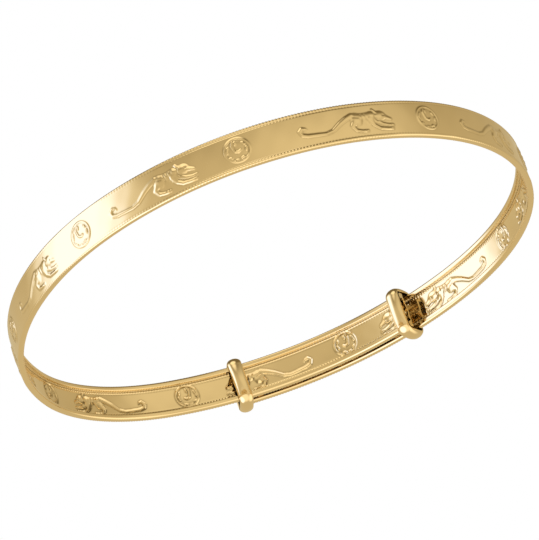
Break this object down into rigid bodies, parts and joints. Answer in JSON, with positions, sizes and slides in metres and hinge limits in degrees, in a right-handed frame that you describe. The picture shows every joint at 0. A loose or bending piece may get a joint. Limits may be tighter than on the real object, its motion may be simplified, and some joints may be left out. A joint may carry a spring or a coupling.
{
  "type": "bangle bracelet",
  "caption": "Expanding child's bangle: a stamped gold channel band with overlapping ends that slide through polished collars.",
  "frame": {"origin": "middle of the object's box, at its lowest point, which is the underside of the collars", "axes": "+Z along the ring's axis, towards the heads of the stamped animals; +Y from the ring's middle towards the overlap"},
  "size_m": [0.0454, 0.0464, 0.0049],
  "materials": {
    "band_gold": "polished yellow gold with stamped relief",
    "collar_gold": "highly polished yellow gold"
  },
  "bodies": {
    "back": {"band_back": "band_gold"},
    "left_rear": {"band_left_rear": "band_gold"},
    "left_front": {"band_left_front": "band_gold"},
    "inner_end": {"band_inner_end": "band_gold", "inner_collar": "collar_gold"},
    "right_rear": {"band_right_rear": "band_gold"},
    "right_front": {"band_right_front": "band_gold"},
    "outer_end": {"band_outer_end": "band_gold", "outer_collar": "collar_gold"}
  },
  "joints": [
    {"name": "expand", "type": "hinge", "parent": "back", "child": "left_rear", "pos_m": [-0.01677, -0.01465, 0.00243], "axis": [0, 0, 1], "range_deg": [-2, 8]},
    {"name": "flex_left_front", "type": "hinge", "parent": "left_rear", "child": "left_front", "pos_m": [-0.02174, 0.00746, 0.00243], "axis": [0, 0, 1], "range_deg": [-1.52, 6.05]},
    {"name": "flex_inner_end", "type": "hinge", "parent": "left_front", "child": "inner_end", "pos_m": [-0.01219, 0.01906, 0.00243], "axis": [0, 0, 1], "range_deg": [-1.12, 4.48]},
    {"name": "flex_right_rear", "type": "hinge", "parent": "back", "child": "right_rear", "pos_m": [0.01141, -0.01995, 0.00243], "axis": [0, 0, -1], "range_deg": [-1.71, 6.82]},
    {"name": "flex_right_front", "type": "hinge", "parent": "right_rear", "child": "right_front", "pos_m": [0.02223, -0.00375, 0.00243], "axis": [0, 0, -1], "range_deg": [-1.1, 4.37]},
    {"name": "flex_outer_end", "type": "hinge", "parent": "right_front", "child": "outer_end", "pos_m": [0.01596, 0.01491, 0.00243], "axis": [0, 0, -1], "range_deg": [-1.44, 5.76]}
  ],
  "couplings": [
    {"joint": "flex_left_front", "follows": "expand", "ratio": 0.6574},
    {"joint": "flex_inner_end", "follows": "expand", "ratio": 0.4861},
    {"joint": "flex_right_rear", "follows": "expand", "ratio": 0.741},
    {"joint": "flex_right_front", "follows": "expand", "ratio": 0.4741},
    {"joint": "flex_outer_end", "follows": "expand", "ratio": 0.6255}
  ]
}
